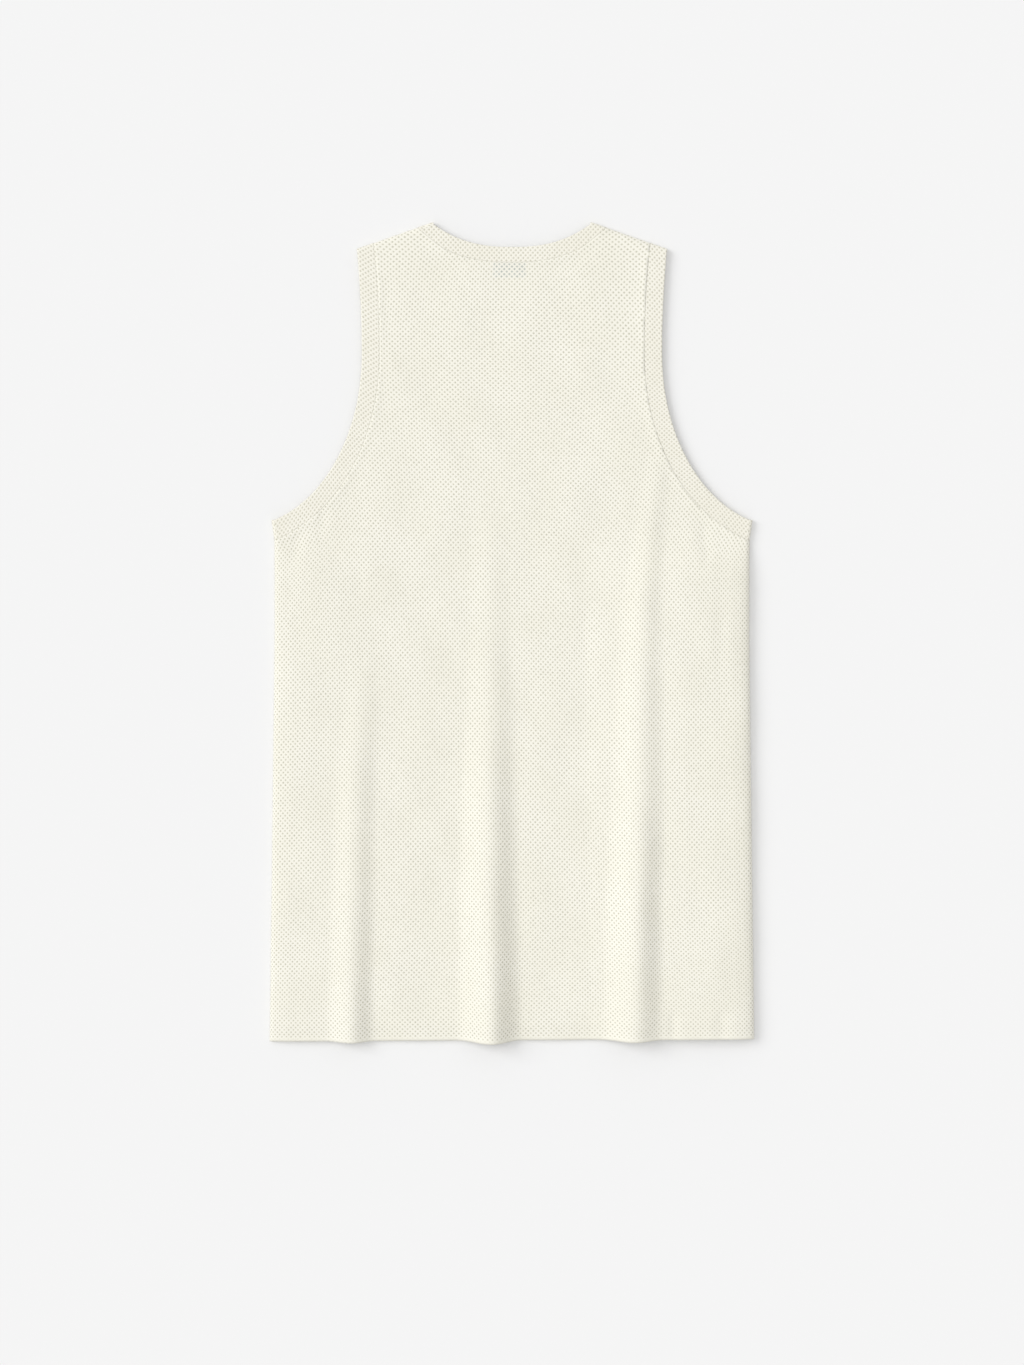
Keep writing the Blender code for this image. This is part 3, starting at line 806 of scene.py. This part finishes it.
def knit_material(name, cream, light_cream, eyelet_painted_shade, openness):
    """Eyelets and crossing yarns on the stitch's own coordinates, with painted shade in the eyelets."""
    material = bpy.data.materials.new(name)
    material.use_nodes = True
    tree = material.node_tree
    calc = partial(add_math, tree)
    stitch = tree.nodes.new("ShaderNodeUVMap")
    stitch.uv_map = "knit"
    stitch_place = add_split(tree, stitch.outputs["UV"])
    across = calc("MULTIPLY", stitch_place["X"], 2 * math.pi)
    along = calc("MULTIPLY", stitch_place["Y"], 2 * math.pi)
    place = tree.nodes.new("ShaderNodeTexCoord").outputs["Object"]
    uneven = add_noise(tree, place, YARN_UNEVEN_SCALE, 1.0)
    blotches = add_noise(tree, place, BLOTCH_SCALE, 3.0)
    fibres = add_noise(tree, place, FIBRE_SCALE, 3.0)

    # Two sets of yarns cross on the diagonals: 1 on a yarn's back, 0 in the eyelets between
    sum_angle = calc("ADD", across, along)
    difference_angle = calc("SUBTRACT", across, along)
    first_yarn = calc("MULTIPLY_ADD", calc("COSINE", sum_angle), -0.5, 0.5)
    second_yarn = calc("MULTIPLY_ADD", calc("COSINE", difference_angle), -0.5, 0.5)
    backs = calc("SMOOTH_MAX", first_yarn, second_yarn, YARNS_MERGE)
    uneven_size = calc("MULTIPLY_ADD", uneven, EYELETS_UNEVEN, -EYELETS_UNEVEN / 2)
    eyelet = calc("SUBTRACT", calc("ADD", uneven_size, 1.0), backs)
    attribute = tree.nodes.new("ShaderNodeAttribute")
    attribute.attribute_name = "plain_edge"
    plain = attribute.outputs["Fac"]
    open_part = calc("SUBTRACT", 1.0, plain)
    eyelet = calc("MULTIPLY_ADD", eyelet, open_part, calc("MULTIPLY", plain, PLAIN_TONE))

    # Painted shade in the eyelets, deepest at their bottoms
    painted_shade_mask = add_range(tree, eyelet, *WALL_RANGE)
    painted_shade_mask.node.name = "eyelet wall"
    hole = add_range(tree, eyelet, *HOLE_RANGE)
    cream_mix = add_mix(tree, add_range(tree, blotches, *BLOTCH_RANGE), cream, light_cream)
    with_painted_shade = add_mix(tree, painted_shade_mask, cream_mix, eyelet_painted_shade)
    flecked = add_mix(tree, calc("MULTIPLY", fibres, FIBRE_TONE), with_painted_shade, light_cream)

    # The yarns' round backs, their twist and their loose fibres
    over = calc("GREATER_THAN", first_yarn, second_yarn)
    slant = calc("MULTIPLY", sum_angle, TWIST_ACROSS)
    first_twist = calc("MULTIPLY_ADD", difference_angle, TWIST_ALONG, slant)
    slant = calc("MULTIPLY", difference_angle, -TWIST_ACROSS)
    second_twist = calc("MULTIPLY_ADD", sum_angle, TWIST_ALONG, slant)
    first_ply = calc("MULTIPLY", calc("SINE", first_twist), over)
    under = calc("SUBTRACT", 1.0, over)
    plies = calc("MULTIPLY_ADD", calc("SINE", second_twist), under, first_ply)
    height = calc("MULTIPLY_ADD", plies, PLY_RELIEF, backs)
    height = calc("MULTIPLY_ADD", fibres, FIBRE_RELIEF, height)
    bump = tree.nodes.new("ShaderNodeBump")
    set_inputs(tree, bump, {"Strength": YARN_BUMP, "Distance": YARN_BUMP_DEPTH, "Height": height})
    set_inputs(tree, tree.nodes["Principled BSDF"], {
        "Base Color": flecked,
        "Alpha": calc("MULTIPLY_ADD", hole, -openness, 1.0),
        "Normal": bump.outputs["Normal"],
        "Roughness": calc("MULTIPLY_ADD", fibres, FIBRE_ROUGHNESS, YARN_ROUGHNESS),
        "Specular IOR Level": KNIT_SHINE,
        "Sheen Weight": KNIT_SHEEN,
        "Sheen Roughness": SHEEN_ROUGHNESS,
    })
    return material


openwork_knit = knit_material(
    "cream_openwork_knit", YARN_CREAM, YARN_CREAM_LIGHT, EYELET_PAINTED_SHADE, EYELET_OPENNESS
)
back_panel = knit_panel("back_panel_knit", cut_lines(back_neck_edge, 0.0), True, back_surface, False)
back_panel.data.materials.append(openwork_knit)
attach(back_panel, "root")
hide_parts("back_panel")


# ---- Front panel ----------------------------------------------------------------------------
# The same knit as the back, cut with a deep scooped neck and slightly deeper armholes. It lies
# flat on the table under the back panel, and its edges turn up to meet it at the side seams.

FRONT_NECK_HALF = 0.082
FRONT_NECK_WIDEN_LENGTH = 0.060
FRONT_SCOOP_TOP_Y = 0.276
FRONT_SCOOP_DEPTH = 0.105
FRONT_SCOOP_POWER = 1.55
FRONT_STRAIGHT_SHARE = 0.22
FRONT_ARMHOLE_EXTRA = 0.005
FRONT_HEM_SHORTER = 0.0005
FRONT_HEM_EASE = 0.05
FRONT_ROLL = 0.0016


def front_neck_edge(share):
    """The front neckline, from the right corner (0) down and up to the left corner (1)."""
    side = np.where(share <= 0.5, 1, -1)
    run = np.minimum(share, 1 - share) * 2
    top_y = shoulder_y(NECK_HALF)
    straight_y = top_y + (FRONT_SCOOP_TOP_Y - top_y) * run / FRONT_STRAIGHT_SHARE
    widen = ease((top_y - straight_y) / FRONT_NECK_WIDEN_LENGTH)
    straight_x = NECK_HALF + (FRONT_NECK_HALF - NECK_HALF) * widen
    angle = np.clip((run - FRONT_STRAIGHT_SHARE) / (1 - FRONT_STRAIGHT_SHARE), 0, 1) * math.pi / 2
    power = 2 / FRONT_SCOOP_POWER
    scoop_x = FRONT_NECK_HALF * np.maximum(0, np.cos(angle)) ** power
    scoop_y = FRONT_SCOOP_TOP_Y - FRONT_SCOOP_DEPTH * np.sin(angle) ** power
    straight = run < FRONT_STRAIGHT_SHARE
    x = np.where(straight, straight_x, scoop_x)
    return np.stack([side * x, np.where(straight, straight_y, scoop_y)], axis=-1)


def front_surface(flat, to_seam):
    """The front panel's lower face, on the table, turned up at the sides and the shoulders."""
    q = flat[:, 0]
    y = flat[:, 1] + FRONT_HEM_SHORTER * ease(1 - (flat[:, 1] - HEM_Y) / FRONT_HEM_EASE)
    side = side_half_width(y)
    roll_start = side - FRONT_ROLL
    run = FRONT_ROLL * math.pi / 2
    over = np.maximum(0, np.abs(q) - roll_start)
    spare = SIDE_ROLL_RUN - SIDE_ROLL_REACH + FRONT_ROLL
    turn = np.clip(over / spare, 0, 1) * math.pi / 2
    x = np.sign(q) * (np.minimum(np.abs(q), roll_start) + FRONT_ROLL * np.sin(turn))
    z = FRONT_ROLL * (1 - np.cos(turn))
    off_line = past_shoulder(q, y)
    flat_reach = SHOULDER_REACH - FRONT_ROLL
    turn = np.clip((off_line - flat_reach) / (SHOULDER_ROLL_RUN - flat_reach), 0, 1) * math.pi / 2
    shift = np.minimum(off_line, flat_reach) + FRONT_ROLL * np.sin(turn) - off_line
    x += np.sign(x) * OFF_SHOULDER[0] * shift
    y += OFF_SHOULDER[1] * shift
    return np.stack([x, y, z + FRONT_ROLL * (1 - np.cos(turn))], axis=-1)


front_panel = knit_panel(
    "front_panel_knit", cut_lines(front_neck_edge, FRONT_ARMHOLE_EXTRA), False, front_surface, True
)
front_panel.data.materials.append(openwork_knit)
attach(front_panel, "root")
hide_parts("front_panel")


# ---- Neck band ------------------------------------------------------------------------------
# A knitted strip 14 mm wide, sewn to both panels round the neckline and folded at the shoulders.
# It is a ring: a flat strip on top, half a turn at each shoulder, and a strip under it.

BAND_THICKNESS = 0.0020
BAND_AXIS_Z = 0.0030
BAND_OUTER_RADIUS = 0.0030
BAND_POINTS = 160
BAND_TURN_POINTS = 11
BAND_STEP = 0.0008
BAND_FLAT = (0.03, 0.985)       # share of the width that the outer face takes
BAND_EYELET_DEPTH = 0.0003
BAND_EYELET_FADE = 0.0025
BAND_DIP = 0.00018
BAND_DIP_AT_SEAM = 0.3
BAND_DIP_AT_EDGE = 0.8
BAND_DIP_REACH = 0.0012
BAND_PLAIN = 0.2                # how much its edges' stitches close the eyelets
BAND_PLAIN_REACH = 0.0008
MERGE_DISTANCE = 0.00001
NECK_STITCH = [
    # (y, fall of a row to the right, repeat across, repeat along)
    (0.150, 0.0, 0.0044, 0.0047),
    (0.380, 0.0, 0.0044, 0.0047),
]
BAND_SECTION_INNER = [
    # (share of the width from the edge, share of the thickness from the outer face)
    (1.00, 0.10),
    (1.00, 0.60),
    (0.97, 0.92),
    (0.75, 1.00),
    (0.50, 1.00),
    (0.25, 1.00),
    (0.03, 0.92),
    (0.00, 0.65),
    (0.00, 0.35),
]
BAND_CREAM = (0.815, 0.792, 0.700, 1.0)
BAND_CREAM_LIGHT = (0.840, 0.819, 0.738, 1.0)
# Painted shade in the band's eyelets
BAND_EYELET_PAINTED_SHADE = (0.672, 0.650, 0.545, 1.0)
BAND_OPENNESS = 0.18


def ring_rows(edge, seam, outwards, angles):
    """Places round a ring: edge x and y, seam x and y, outwards x and y, and the angle turned."""
    pairs = [np.broadcast_to(pair, (len(angles), 2)) for pair in (edge, seam, outwards)]
    return np.column_stack(pairs + [angles])


def ring_course(upper, lower, first_outwards, last_outwards):
    """Even steps round a ring band: its upper strip, a half turn, its lower strip, a half turn.

    upper and lower are (edge, seam) points in order round the ring. The course is its edge, its
    seam, its outward direction and the angle that it has turned, at each step."""
    turned = np.linspace(0, math.pi, BAND_TURN_POINTS)[1:-1]
    rows = []
    for (edge, seam), outwards, start in (
        (upper, first_outwards, 0.0),
        (lower, last_outwards, math.pi),
    ):
        rows.append(ring_rows(edge, seam, outwards, np.full(len(edge), start)))
        rows.append(ring_rows(edge[-1], seam[-1], outwards, start + turned))
    rows.append(ring_rows(upper[0][0], upper[1][0], last_outwards, [2 * math.pi]))
    rows = np.vstack(rows)
    edge, seam, outwards, angle = np.split(rows, [2, 4, 6], axis=1)
    middle = (edge + seam) / 2 + outwards * BAND_OUTER_RADIUS * np.abs(np.sin(angle))
    places = np.column_stack([middle, BAND_OUTER_RADIUS * np.cos(angle)])
    steps = np.linalg.norm(np.diff(places, axis=0), axis=1)
    run = np.concatenate([[0], np.cumsum(steps)])
    stations = round(run[-1] / BAND_STEP)
    at = np.arange(stations + 1) * run[-1] / stations
    course = np.stack([np.interp(at, run, column) for column in rows.T], axis=-1)
    return np.split(course, [2, 4, 6], axis=1)


def ring_stitch(course, share, stitch_table, hand):
    """The stitch's coordinates, on the strip as if it were unfolded at the first turn.

    The stitch keeps the body's upright columns; its table gives the rows' fall to the right and
    the size of a repeat up the band."""
    edge, seam, outwards, angle = course
    centre = (edge + seam) / 2
    under = np.where(angle[:, 0] > math.pi / 2, -1, 1)
    moved = np.diff(centre, axis=0)
    arc = np.diff(angle, axis=0) * BAND_OUTER_RADIUS
    moved = moved * np.stack([np.ones(len(moved)), under[1:]], axis=-1) + outwards[1:] * arc
    fall, repeat_across, repeat_along = (
        read_table(stitch_table, centre[:, 1], column) for column in (1, 2, 3)
    )
    across = np.concatenate([[0], np.cumsum(hand * moved[:, 0] / repeat_across[1:])])
    rise = moved[:, 1] + fall[1:] * hand * moved[:, 0]
    along = np.concatenate([[0], np.cumsum(rise / repeat_along[1:])])
    aside = (seam - edge)[:, None, :] * (share - 0.5)[None, :, None]
    across = across[:, None] + hand * aside[..., 0] / repeat_across[:, None]
    fallen = fall[:, None] * hand * aside[..., 0]
    along = along[:, None] + (aside[..., 1] * under[:, None] + fallen) / repeat_along[:, None]
    return np.stack([across, along], axis=-1)


def band_ring(name, course, width, stitch_table, mirrored):
    """A band of doubled knit on its course, closed on itself."""
    edge, seam, outwards, angle = course
    hand = -1 if mirrored else 1
    stations = len(edge) - 1
    outer_count = round(width / BAND_STEP) + 1
    section = [(share, 0.0) for share in np.linspace(*BAND_FLAT, outer_count)]
    section += BAND_SECTION_INNER + section[:1]
    corners = len(section) - 1
    bpy.ops.mesh.primitive_grid_add(x_subdivisions=corners, y_subdivisions=stations, size=1)
    band = bpy.context.object
    band.name = name
    mesh = band.data
    share, depth = np.array(section).T
    stitch = ring_stitch(course, share, stitch_table, hand)
    set_stitch(mesh, stitch.reshape(-1, 2)[corner_vertices(mesh)])

    to_side = np.minimum(share, 1 - share) * width
    outer_face = np.where(depth == 0.0, ease(to_side / BAND_EYELET_FADE), 0.0)
    sunk = BAND_EYELET_DEPTH * eyelet_weight(stitch) * outer_face[None, :]
    dip = BAND_DIP_AT_SEAM * np.exp(-((1 - share) * width / SEAM_DIP_REACH) ** 2)
    dip = dip + BAND_DIP_AT_EDGE * np.exp(-(share * width / BAND_DIP_REACH) ** 2)
    radius = BAND_OUTER_RADIUS - BAND_THICKNESS * depth[None, :]
    radius = radius - BAND_DIP * dip[None, :] * (1 - depth)[None, :] - sunk
    flat = edge[:, None, :] + (seam - edge)[:, None, :] * share[None, :, None]
    flat = flat + outwards[:, None, :] * (radius * np.abs(np.sin(angle)))[..., None]
    level = BAND_AXIS_Z + radius * np.cos(angle)
    points = np.concatenate([flat, level[..., None]], axis=-1)
    points[-1] = points[0]          # the ring closes on its first station
    set_points(mesh, points.reshape(-1, 3) * (hand, 1, 1))
    plain = BAND_PLAIN * np.exp(-(to_side / BAND_PLAIN_REACH) ** 2)
    set_plain(mesh, np.tile(plain, stations + 1))

    shape = bmesh.new()
    shape.from_mesh(mesh)
    bmesh.ops.remove_doubles(shape, verts=shape.verts, dist=MERGE_DISTANCE)
    if shape.calc_volume(signed=True) < 0:
        bmesh.ops.reverse_faces(shape, faces=shape.faces)
    shape.to_mesh(mesh)
    shape.free()
    mesh.shade_smooth()
    return band


band_knit = knit_material(
    "cream_band_knit", BAND_CREAM, BAND_CREAM_LIGHT, BAND_EYELET_PAINTED_SHADE, BAND_OPENNESS
)
band_share = np.linspace(0, 1, BAND_POINTS)
backwards = band_share[::-1]
back_strip = (back_neck_edge(backwards), neck_seam(back_neck_edge, backwards, 0.0))
front_strip = (front_neck_edge(band_share), neck_seam(front_neck_edge, band_share, 0.0))
neck_course = ring_course(back_strip, front_strip, OFF_SHOULDER, OFF_LEFT_SHOULDER)
neck_band = band_ring("neck_band_knit", neck_course, NECK_BAND_WIDTH, NECK_STITCH, False)
neck_band.data.materials.append(band_knit)
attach(neck_band, "root")
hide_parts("neck_band")


# ---- Armhole bands --------------------------------------------------------------------------
# A strip of the same knit, 16 mm wide, round each armhole, sewn to both panels and folded at the
# shoulder tip and at the side. Its rows slant where the strip was stretched to fit.

ARMHOLE_STITCH = {
    "left": [
        # (y, fall of a row to the right, repeat across, repeat along)
        (0.107, -0.310, 0.00375, 0.00498),
        (0.130, 0.015, 0.00377, 0.00489),
        (0.180, 0.216, 0.00398, 0.00458),
        (0.235, 0.330, 0.00478, 0.00434),
        (0.299, 0.333, 0.00488, 0.00432),
    ],
    "right": [
        (0.105, 0.200, 0.00389, 0.00466),
        (0.147, 0.030, 0.00484, 0.00371),
        (0.178, -0.040, 0.00440, 0.00402),
        (0.212, 0.130, 0.00444, 0.00390),
        (0.253, 0.145, 0.00411, 0.00459),
        (0.305, 0.160, 0.00430, 0.00494),
    ],
}

upper_strip = (armhole_edge(band_share), armhole_seam(band_share, 0.0))
lower_strip = (
    armhole_edge(backwards, FRONT_ARMHOLE_EXTRA),
    armhole_seam(backwards, 0.0, FRONT_ARMHOLE_EXTRA),
)
armhole_course = ring_course(upper_strip, lower_strip, OFF_SHOULDER, (1.0, 0.0))
for side_name, mirrored in (("left", True), ("right", False)):
    armhole_band = band_ring(
        f"armhole_band_{side_name}_knit", armhole_course, ARMHOLE_BAND_WIDTH,
        ARMHOLE_STITCH[side_name], mirrored,
    )
    armhole_band.data.materials.append(band_knit)
    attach(armhole_band, "root")
    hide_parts(f"armhole_band_{side_name}")


# ---- Label ----------------------------------------------------------------------------------
# A small bare label of pale woven tape, sewn to the neck seam inside the back. Its top edge is
# caught in the seam, and it hangs free below that.

LABEL_WIDTH = 0.030
LABEL_DEPTH = 0.0135
LABEL_THICKNESS = 0.0006
LABEL_CENTRE_X = -0.0023
LABEL_LOWER_FACE = 0.0031
LABEL_GRID = (40, 18)
LABEL_CURL = 0.00004
LABEL_CURL_TURN = 9
LABEL_EDGE_RADIUS = 0.00012
LABEL_WARP = 12000.0            # the weave's waves, in radians a metre
LABEL_WEFT = 9000.0
LABEL_RELIEF = 0.0001
LABEL_ROUGHNESS = 0.7
LABEL_GREY_BLUE = (0.200, 0.290, 0.360, 1.0)
LABEL_PALE = (0.340, 0.430, 0.490, 1.0)
# The label's tone with painted shade, painted on the knit above it
LABEL_SHADE_PAINTED_ON_KNIT = (0.545, 0.575, 0.538, 1.0)
LABEL_SHADE_PAINTED_SHARE = 0.80
LABEL_BLUR = 0.0015             # the tone fades this far to either side of its edge

bpy.ops.mesh.primitive_grid_add(x_subdivisions=LABEL_GRID[0], y_subdivisions=LABEL_GRID[1], size=1)
label = bpy.context.object
label.name = "neck_label_woven"
label_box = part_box("neck_label")
label_centre_y = (label_box[0][1] + label_box[1][1]) / 2
share_x, share_y = vertex_vectors(label.data, "co")[:, :2].T
label_x = LABEL_CENTRE_X + share_x * LABEL_WIDTH
label_y = label_centre_y + share_y * LABEL_DEPTH
label_z = LABEL_LOWER_FACE + LABEL_CURL * np.sin(LABEL_CURL_TURN * share_x) * (0.5 - share_y)
set_points(label.data, np.stack([label_x, label_y, label_z], axis=-1))
tape = label.modifiers.new("tape thickness", "SOLIDIFY")
tape.thickness = LABEL_THICKNESS
tape.offset = 1.0
bpy.ops.object.modifier_apply(modifier=tape.name)
rounding = label.modifiers.new("soft edges", "BEVEL")
rounding.width = LABEL_EDGE_RADIUS
rounding.segments = 2
bpy.ops.object.modifier_apply(modifier=rounding.name)

woven = bpy.data.materials.new("pale_label_weave")
woven.use_nodes = True
weave_tree = woven.node_tree
calc = partial(add_math, weave_tree)
weave_place = add_split(weave_tree, weave_tree.nodes.new("ShaderNodeTexCoord").outputs["Object"])
warp = calc("SINE", calc("MULTIPLY", weave_place["X"], LABEL_WARP))
weft = calc("SINE", calc("MULTIPLY", weave_place["Y"], LABEL_WEFT))
weave = calc("MULTIPLY_ADD", calc("MULTIPLY", warp, weft), 0.5, 0.5)
weave_bump = weave_tree.nodes.new("ShaderNodeBump")
set_inputs(weave_tree, weave_bump, {"Distance": LABEL_RELIEF, "Height": weave})
set_inputs(weave_tree, weave_tree.nodes["Principled BSDF"], {
    "Base Color": add_mix(weave_tree, weave, LABEL_GREY_BLUE, LABEL_PALE),
    "Normal": weave_bump.outputs["Normal"],
    "Roughness": LABEL_ROUGHNESS,
})
label.data.materials.append(woven)

# Painted on the knit where the label lies under the back: the label's own grey-blue tone with painted
# shade, most of all at the eyelets
knit_tree = openwork_knit.node_tree
calc = partial(add_math, knit_tree)
knit_colour = knit_tree.nodes["Principled BSDF"].inputs["Base Color"]
knit_place = add_split(knit_tree, knit_tree.nodes.new("ShaderNodeTexCoord").outputs["Object"])
eyelet_painted_shade_mask = knit_tree.nodes["eyelet wall"].outputs["Result"]
painted_label_shade_mask = calc("MULTIPLY", eyelet_painted_shade_mask, LABEL_SHADE_PAINTED_SHARE)
label_spans = (("X", LABEL_CENTRE_X, LABEL_WIDTH), ("Y", label_centre_y, LABEL_DEPTH))
for axis, centre, size in label_spans:
    off_centre = calc("SUBTRACT", knit_place[axis], centre)
    inside = calc("SUBTRACT", size / 2, calc("ABSOLUTE", off_centre))
    painted_label_shade_mask = calc("MULTIPLY", painted_label_shade_mask, add_range(knit_tree, inside, -LABEL_BLUR, LABEL_BLUR))
with_painted_label_shade = add_mix(knit_tree, painted_label_shade_mask, knit_colour.links[0].from_socket, LABEL_SHADE_PAINTED_ON_KNIT)
knit_tree.links.new(with_painted_label_shade, knit_colour)
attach(label, "root")
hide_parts("neck_label")

bpy.context.view_layer.update()
